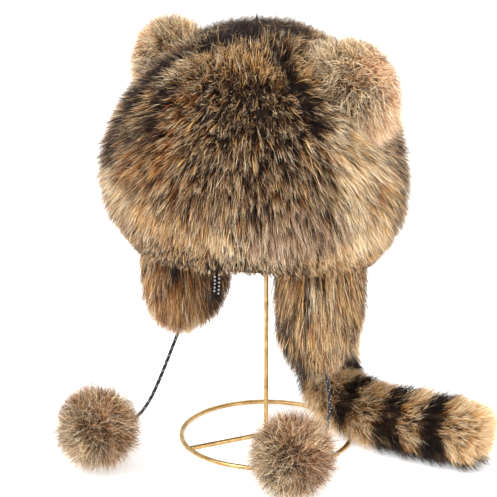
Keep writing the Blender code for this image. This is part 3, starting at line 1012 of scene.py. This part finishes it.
def photo_camera():
    """The photo's camera, which stands beside the wearer's face and looks a little down."""
    turn = CAMERA_TURN + CAMERA_YAW
    flat = Vector((-math.sin(turn), math.cos(turn), 0.0))
    ahead = flat * math.cos(CAMERA_PITCH) - Vector((0, 0, math.sin(CAMERA_PITCH)))
    across = Vector((math.cos(turn), math.sin(turn), 0.0))
    up = across.cross(ahead)
    data = bpy.data.cameras.new("photo_camera")
    data.sensor_width = SENSOR_MM
    data.lens = FOCAL_PIXELS * SENSOR_MM / FRAME_PIXELS
    made = bpy.data.objects.new("photo_camera", data)
    left = CAMERA_REACH * math.sin(CAMERA_TURN)
    place = Vector((left, -CAMERA_REACH * math.cos(CAMERA_TURN), CAMERA_HEIGHT))
    made.matrix_world = Matrix.Translation(place) @ Matrix((across, up, -ahead)).transposed().to_4x4()
    bpy.context.scene.collection.objects.link(made)
    bpy.context.scene.camera = made


# The pieces


CROWN_PATCHES = (
    # start (turn, climb), end (turn, climb), radius, strength, mix
    Patch((84, 0.42), (86, 0.10), 0.032, 0.85, "cream"),
    Patch((-27, 0.60), (-27, 0.36), 0.026, 0.70, "shade"),
    Patch((-35, 0.62), (-34, 0.32), 0.016, 0.92, "night"),
    Patch((-24, 0.60), (-23, 0.46), 0.006, 0.75, "gold"),
    Patch((-12, 0.60), (-6, 0.42), 0.011, 0.85, "night"),
    Patch((-20, 0.44), (-16, 0.34), 0.012, 0.70, "shade"),
    Patch((2, 0.56), (2, 0.38), 0.012, 0.60, "rust"),
    Patch((-2, 0.36), (-16, 0.30), 0.016, 0.75, "rust"),
    Patch((22, 0.76), (58, 0.68), 0.024, 0.80, "gold"),
    Patch((-22, 0.62), (-12, 0.74), 0.009, 0.75, "cream"),
    Patch((-12, 0.74), (16, 0.80), 0.009, 0.50, "gold"),
    Patch((-38, 0.60), (-30, 0.72), 0.010, 0.95, "night"),
    Patch((-30, 0.72), (-10, 0.81), 0.010, 0.97, "night"),
    Patch((-10, 0.81), (30, 0.90), 0.013, 0.97, "night"),
    Patch((30, 0.90), (110, 0.88), 0.018, 0.97, "night"),
    Patch((-70, 0.86), (-20, 0.97), 0.018, 0.95, "night"),
    Patch((-20, 0.97), (130, 0.92), 0.022, 0.95, "night"),
    Patch((43, 0.53), (46, 0.50), 0.030, 0.55, "shade"),
    Patch((-34, 0.24), (-8, 0.16), 0.014, 0.60, "cream"),
    Patch((-8, 0.15), (22, 0.10), 0.013, 0.80, "gold"),
    Patch((26, 0.09), (48, 0.06), 0.014, 0.55, "cream"),
    Patch((44, 0.12), (64, 0.13), 0.024, 0.80, "taupe"),
    Patch((72, 0.42), (73, 0.32), 0.009, 0.90, "cream"),
    Patch((73, 0.30), (80, 0.18), 0.010, 0.90, "cream"),
    Patch((92, 0.25), (86, 0.15), 0.010, 0.60, "rust"),
    Patch((98, 0.22), (100, 0.06), 0.014, 0.80, "gold"),
    Patch((66, 0.05), (88, 0.02), 0.012, 0.75, "gold"),
    # Painted shade: a black line down the crown in front of the left ear, where the ear shades the crown
    Patch((60, 0.78), (60, 0.62), 0.009, 0.95, "night"),
    Patch((60, 0.62), (65, 0.48), 0.008, 0.90, "night"),
    Patch((114, 0.34), (112, 0.12), 0.012, 0.60, "night"),
    Patch((180, 0.90), (180, 0.20), 0.024, 0.65, "shade"),
    Patch((140, 0.30), (150, 0.12), 0.022, 0.55, "gold"),
    Patch((-80, 0.40), (-84, 0.12), 0.020, 0.80, "cream"),
    Patch((-110, 0.30), (-112, 0.10), 0.018, 0.65, "gold"),
    Patch((-60, 0.30), (-64, 0.12), 0.016, 0.60, "rust"),
    # Painted shade: the same black line in front of the right ear, where the ear shades the crown
    Patch((-60, 0.78), (-60, 0.50), 0.009, 0.90, "night"),
    Patch((-140, 0.35), (-150, 0.15), 0.020, 0.45, "rust"),
)
EAR_PATCHES = (
    Patch((-90, 0.10), (-80, 0.85), 0.022, 0.95, "cream"),
    Patch((90, 0.25), (60, 0.95), 0.026, 0.90, "peach"),
    Patch((0, 0.97), (0, 0.85), 0.018, 0.80, "peach"),
    Patch((25, 0.55), (40, 0.10), 0.013, 0.90, "white"),
    Patch((110, 0.20), (130, 0.05), 0.016, 0.80, "cream"),
    Patch((180, 0.60), (180, 0.20), 0.024, 0.60, "rust"),
)
FLAP_LEFT_PATCHES = (
    Patch((-15, 0.10), (-15, 0.60), 0.009, 0.60, "rust"),
    Patch((31, 0.15), (30, 0.45), 0.005, 0.85, "night"),
    Patch((70, 0.00), (90, 0.05), 0.014, 0.85, "cream"),
    Patch((52, 0.30), (60, 0.95), 0.014, 0.40, "cream"),
    Patch((10, 0.80), (60, 0.93), 0.009, 0.60, "shade"),
    Patch((-10, 0.46), (-4, 0.66), 0.010, 0.90, "night"),
    Patch((-4, 0.66), (4, 0.84), 0.011, 0.95, "night"),
    Patch((136, 0.15), (130, 0.75), 0.009, 0.80, "night"),
)
FLAP_RIGHT_PATCHES = (
    Patch((-35, 0.10), (-30, 0.70), 0.008, 0.75, "gold"),
    Patch((34, 0.05), (38, 0.35), 0.008, 0.90, "night"),
    Patch((100, 0.10), (105, 0.60), 0.017, 0.92, "night"),
    Patch((60, 0.90), (60, 1.00), 0.013, 0.85, "cream"),
    Patch((10, 0.30), (30, 0.80), 0.010, 0.50, "rust"),
)
POMPOM_PATCHES = (
    Patch((30, 0.20), (20, 0.00), 0.012, 0.70, "shade"),
    Patch((-20, 0.10), (10, -0.35), 0.022, 0.90, "white"),
    Patch((80, 0.40), (40, 0.80), 0.020, 0.40, "peach"),
)
TAIL_BANDS = (
    # share along the tail where a dark ring starts and ends, and how much wider it is underneath
    (0.05, 0.10, 0.0),
    (0.19, 0.24, 0.0),
    (0.36, 0.42, 0.0),
    (0.55, 0.60, -0.8),
    (0.685, 0.735, 0.9),
    (0.81, 0.865, 0.5),
)
TAIL_BAND_COATS = (
    # mix, strength, width against the ring's own, sharpness of its edge
    ("rust", 0.90, 1.50, 4),
    ("night", 0.98, 1.05, 8),
)
TAIL_LOW_START = 1.6
TAIL_LOW_HEIGHT = 0.7
TAIL_UNDERSIDE_FROM = 0.66
TAIL_UNDERSIDE_HEIGHT = 0.4
TAIL_UNDERSIDE_STRENGTH = 0.95

CROWN_HAIR_PIECES = 3
SEEDS = {
    "crown": 100,
    "ear_left": 201,
    "ear_right": 199,
    "flap_left": 301,
    "flap_right": 299,
    "tail": 400,
    "pompom_left": 511,
    "pompom_right": 512,
}
GROWTHS = {
    "crown": Growth(
        hairs=51000, per_lock=9, spread=0.013, stray=0.006, gather=0.78, root=0.36,
        length=1.0, slide=0.09, droop=0.0, curl=0.0006, width=0.00085,
    ),
    "ear": Growth(
        hairs=18000, per_lock=8, spread=0.05, stray=0.05, gather=0.6, root=0.30,
        length=1.10, slide=0.04, droop=0.005, curl=0.0014, width=0.0007,
    ),
    "flap": Growth(
        hairs=22000, per_lock=9, spread=0.035, stray=0.04, gather=0.7, root=0.35,
        length=1.04, slide=0.14, droop=0.004, curl=0.0010, width=0.00085,
    ),
    "tail": Growth(
        hairs=50000, per_lock=9, spread=0.06, stray=0.03, gather=0.75, root=0.42,
        length=1.02, slide=0.012, droop=0.0, curl=0.0008, width=0.00075, spread_of=(0.12, 1, 1),
    ),
    "pompom": Growth(
        hairs=16000, per_lock=10, spread=0.08, stray=0.08, gather=0.72, root=0.30,
        length=1.02, slide=0.0, droop=0.001, curl=0.0034, width=0.0006,
    ),
}


def dressed(name, node, fur, under, parts=1):
    """Puts hair and a dark underfur, partly painted shade, in the place of a form's solid. Returns the
    pieces.
    """
    pieces = []
    for part in range(parts):
        label = f"{name}_hair_{part + 1}" if parts > 1 else f"{name}_hair"
        made = grow(label, fur._replace(seed=fur.seed + part))
        pieces.append(made)
    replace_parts(pieces[0], node)
    pieces.append(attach(under, "root"))
    return pieces


def crown():
    depth, dark, light = UNDERFUR_AND_SHADE["crown"]
    finish = underfur_and_shade_material("crown_underfur_and_shade", dark, light)
    under = surface("crown_underfur_and_shade", dome_rings(crown_point, depth), finish)
    chart = patched(crown_point, "brown", CROWN_PATCHES)
    fur = Fur(crown_point, upper_half, chart, GROWTHS["crown"], SEEDS["crown"])
    dressed("crown", "crown_fur", fur, under, CROWN_HAIR_PIECES)


def ears():
    depth, dark, light = UNDERFUR_AND_SHADE["ear"]
    for side, name in ((1, "ear_left"), (-1, "ear_right")):
        point = ear_point(side)
        finish = underfur_and_shade_material(name + "_underfur_and_shade", dark, light)
        under = surface(name + "_underfur_and_shade", dome_rings(point, depth, steps=14, sides=40), finish)
        chart = patched(point, "white", [mirrored(patch, side) for patch in EAR_PATCHES])
        fur = Fur(point, upper_half, chart, GROWTHS["ear"], SEEDS[name])
        dressed(name, name, fur, under)


def bead_rows():
    """The silvery beads that lie in two short rows on the inner side of the right flap."""
    point = flap_point(-1, FLAP_DROP_RIGHT)
    bm = bmesh.new()
    for turn, first, last, count in BEAD_ROWS:
        directions = turned(np.full(count, turn), np.linspace(first, last, count))
        for middle in point(directions, np.full(count, BEAD_DEPTH)):
            ball(bm, Vector(middle), BEAD_RADIUS, subdivisions=2)
    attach(smooth_object("flap_beads", bm, speck_material()), "root")


def flaps():
    depth, dark, light = UNDERFUR_AND_SHADE["flap"]
    for side, name, drop, base, patches in (
        (1, "flap_left", FLAP_DROP_LEFT, "flap", FLAP_LEFT_PATCHES),
        (-1, "flap_right", FLAP_DROP_RIGHT, "rust", FLAP_RIGHT_PATCHES),
    ):
        point = flap_point(side, drop)
        finish = underfur_and_shade_material(name + "_underfur_and_shade", dark, light)
        under = surface(name + "_underfur_and_shade", dome_rings(point, depth, steps=16, sides=40), finish)
        fur = Fur(point, upper_half, patched(point, base, patches), GROWTHS["flap"], SEEDS[name])
        dressed(name, name, fur, under)


def tail_chart(tips, places):
    """Dark rings along the tail, and a dark side underneath."""
    # The base mix is pale, partly painted light on a tail that the hat shades
    chances = chances_of("tail", len(tips))
    low = np.clip(TAIL_LOW_START - tips[:, 2] / (TAIL_RADIUS * TAIL_LOW_HEIGHT), 0.0, 1.0)
    for start, end, wider_below in TAIL_BANDS:
        from_middle = np.abs(places[:, 0] - (start + end) / 2) * 2 / (end - start)
        wide = from_middle / (1.0 + wider_below * low)
        for mix, strength, width, sharpness in TAIL_BAND_COATS:
            chances = toward(chances, mix, strength * np.exp(-((wide / width) ** sharpness)))
    under = np.clip(1.0 - tips[:, 2] / (TAIL_RADIUS * TAIL_UNDERSIDE_HEIGHT), 0.0, 1.0)
    dark = np.minimum(under * 2, TAIL_UNDERSIDE_STRENGTH)
    return toward(chances, "night", dark * (places[:, 0] > TAIL_UNDERSIDE_FROM))


def tail_places(count, rng):
    """Even random places on the tail, with its round end."""
    turn = rng.uniform(0, 2 * np.pi, count)
    share = rng.uniform(0, TAIL_CAP_FROM + TAIL_CAP_SHARE, count)
    return np.column_stack((share, np.cos(turn), np.sin(turn)))


def tail():
    point = tail_point()
    depth, dark, light = UNDERFUR_AND_SHADE["tail"]
    turns = np.arange(TAIL_SIDES) * 2 * np.pi / TAIL_SIDES
    rings = []
    for share in np.linspace(0, TAIL_CAP_FROM + TAIL_CAP_SHARE * TAIL_LAST_RING, TAIL_RINGS):
        places = np.column_stack((np.full(TAIL_SIDES, share), np.cos(turns), np.sin(turns)))
        rings.append(above_surface(point(places, np.full(TAIL_SIDES, depth))))
    under = surface("tail_underfur_and_shade", rings, underfur_and_shade_material("tail_underfur_and_shade", dark, light))
    fur = Fur(point, tail_places, tail_chart, GROWTHS["tail"], SEEDS["tail"])
    dressed("tail", "tail", fur, under)


def pompoms():
    depth, dark, light = UNDERFUR_AND_SHADE["pompom"]
    for name, middle, route, cord_name in (
        ("pompom_left", POMPOM_LEFT, CORD_ROUTE_LEFT, "cord_left"),
        ("pompom_right", POMPOM_RIGHT, CORD_ROUTE_RIGHT, "cord_right"),
    ):
        point = pompom_point(middle)
        bm = bmesh.new()
        ball(bm, Vector(middle), POMPOM_RADIUS * depth, subdivisions=3)
        under = smooth_object(name + "_underfur_and_shade", bm, underfur_and_shade_material(name + "_underfur_and_shade", dark, light))
        chart = patched(point, "pompom", POMPOM_PATCHES)
        fur = Fur(point, whole_sphere, chart, GROWTHS["pompom"], SEEDS[name])
        pieces = dressed(name, name, fur, under)
        cord(cord_name, route)


def wire_ring(bm):
    """The base ring, a circle of round wire that lies in the surface."""
    half = WIRE / 2
    sections = []
    for step in range(RING_STEPS):
        turn = Matrix.Rotation(2 * math.pi * step / RING_STEPS, 3, "Z")
        section = []
        for side in range(WIRE_SIDES):
            angle = 2 * math.pi * side / WIRE_SIDES
            place = Vector((RING_RADIUS + half * math.cos(angle), 0.0, half + half * math.sin(angle)))
            section.append(bm.verts.new(turn @ place))
        sections.append(section)
    join_rows(bm, sections + sections[:1])


def rod(bm, place, radius, length, sides):
    """A round bar or plate along its place's Z axis, from half its length below to half above."""
    bmesh.ops.create_cone(
        bm, cap_ends=True, segments=sides, radius1=radius, radius2=radius, depth=length, matrix=place
    )


def drop(bm, place, radius, rows=10):
    """A round drop as rows of corners round its place's Z axis, with one corner at each end."""
    rings = []
    for row in range(1, rows):
        climb = math.pi * row / rows
        flat = radius * math.sin(climb)
        ring = []
        for side in range(WIRE_SIDES):
            angle = 2 * math.pi * side / WIRE_SIDES
            corner = Vector((flat * math.cos(angle), flat * math.sin(angle), -radius * math.cos(climb)))
            ring.append(bm.verts.new(place @ corner))
        rings.append(ring)
    join_rows(bm, rings)
    for ring, height in ((rings[0], -radius), (rings[-1], radius)):
        end = bm.verts.new(place @ Vector((0.0, 0.0, height)))
        for a, b in zip(ring, ring[1:] + ring[:1]):
            bm.faces.new((a, b, end))


def solder(bm):
    """A flattened drop of solder at the pole's foot, and one at each end of the bar."""
    along_bar = Vector((math.cos(BAR_TURN), math.sin(BAR_TURN), 0.0))
    flat = Matrix.Diagonal((1.0, 1.0, SOLDER_FLATNESS, 1.0))
    for reach, radius in (
        (0.0, SOLDER_AT_POLE),
        (RING_RADIUS, SOLDER_AT_RING),
        (-RING_RADIUS, SOLDER_AT_RING),
    ):
        place = Matrix.Translation(along_bar * reach + Vector((0, 0, WIRE / 2 * SOLDER_RISE)))
        drop(bm, place @ flat, radius)


def brass_piece(name, bm):
    """A piece of the stand, smooth but for the sharp rims of its ends."""
    made = smooth_object(name, bm, brass_material())
    made.data.set_sharp_from_angle(angle=SHARP_EDGE)
    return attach(made, "root")


def stand():
    """The soldered brass stand: round wire ring, bar and pole with their joints, and the plate inside."""
    half = WIRE / 2
    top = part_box("stand")[1].z - PLATE_THICKNESS
    raised = Matrix.Translation((0, 0, half))
    lying = Matrix.Rotation(BAR_TURN, 4, "Z") @ raised @ Matrix.Rotation(math.pi / 2, 4, "Y")
    standing = Matrix.Translation((0, 0, (top + half) / 2))
    bm = bmesh.new()
    wire_ring(bm)
    rod(bm, lying, half, 2 * RING_RADIUS, WIRE_SIDES)
    rod(bm, standing, half, top - half, WIRE_SIDES)
    solder(bm)
    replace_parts(brass_piece("stand_wire", bm), "stand")
    bm = bmesh.new()
    plate = Matrix.Translation((0, 0, top + PLATE_THICKNESS / 2))
    rod(bm, plate, PLATE_RADIUS, PLATE_THICKNESS, PLATE_SIDES)
    brass_piece("stand_plate", bm)


def leather_crown():
    """The pelt's leather side, a smooth bowl with a wall."""
    climbs = np.linspace(0.0, SKIN_TOP, LEATHER_RINGS)
    inner = [dome_points(skin(0.0), ring_directions(climb, LEATHER_SIDES)) for climb in climbs]
    outer = [dome_points(skin(LEATHER), ring_directions(climb, LEATHER_SIDES)) for climb in climbs]
    rings = [on_crown(ring) for ring in inner[::-1] + outer]
    made = surface("crown_leather", rings, leather_material(), both_ends=True)
    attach(made, "root")
    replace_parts(made, "crown_shell")


# The studio


def area_light(name, place, size, power):
    data = bpy.data.lights.new(name, "AREA")
    data.size = size
    data.energy = power
    made = bpy.data.objects.new(name, data)
    made.location = place
    made.rotation_euler = (Vector(LIGHTS_AIM) - Vector(place)).to_track_quat("-Z", "Y").to_euler()
    bpy.context.scene.collection.objects.link(made)


def studio():
    bm = bmesh.new()
    bmesh.ops.create_grid(bm, x_segments=8, y_segments=8, size=FLOOR_HALF_WIDTH)
    floor = smooth_object("floor", bm, floor_material())
    for name, place, size, power in LIGHTS:
        area_light(name, place, size, power)
    world = bpy.data.worlds.new("studio")
    world.use_nodes = True
    world.node_tree.nodes["Background"].inputs["Color"].default_value = (1, 1, 1, 1)
    world.node_tree.nodes["Background"].inputs["Strength"].default_value = SKY_STRENGTH
    bpy.context.scene.world = world
    bpy.context.scene.view_settings.view_transform = "Standard"


photo_camera()
pompoms()
crown()
ears()
flaps()
bead_rows()
tail()
stand()
leather_crown()
studio()
